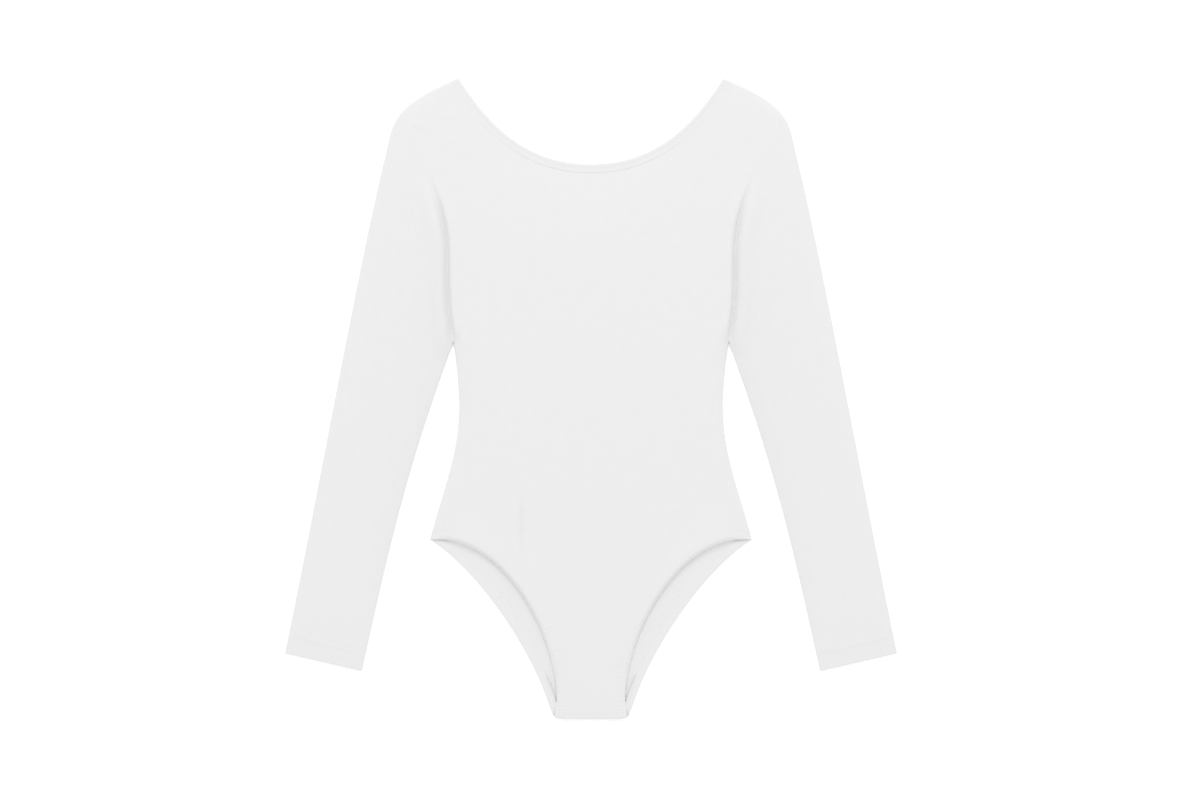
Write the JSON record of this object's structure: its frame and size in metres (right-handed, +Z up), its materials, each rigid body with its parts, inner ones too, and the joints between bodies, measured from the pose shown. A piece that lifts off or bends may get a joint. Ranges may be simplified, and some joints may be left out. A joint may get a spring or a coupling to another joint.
{
  "type": "ballet leotard",
  "caption": "Long-sleeved white ballet leotard with a scooped neck, laid flat on its back with the front up.",
  "frame": {"origin": "middle of the laid-out garment, on the surface that it lies on", "axes": "+Y from the crotch towards the neck, +Z up out of the front, +X towards the wearer's left side"},
  "size_m": [0.6306, 0.66, 0.0063],
  "materials": {
    "body_jersey": "matte white cotton-elastane single jersey",
    "sleeve_jersey": "matte white cotton-elastane single jersey",
    "band_jersey": "the same jersey folded double, stitched along its seam, with elastic inside at the legs"
  },
  "bodies": {
    "root": {"front_panel": "body_jersey", "back_panel": "body_jersey", "sleeve_left": "sleeve_jersey", "sleeve_right": "sleeve_jersey", "neck_band": "band_jersey", "leg_band_left": "band_jersey", "leg_band_right": "band_jersey"}
  },
  "joints": []
}
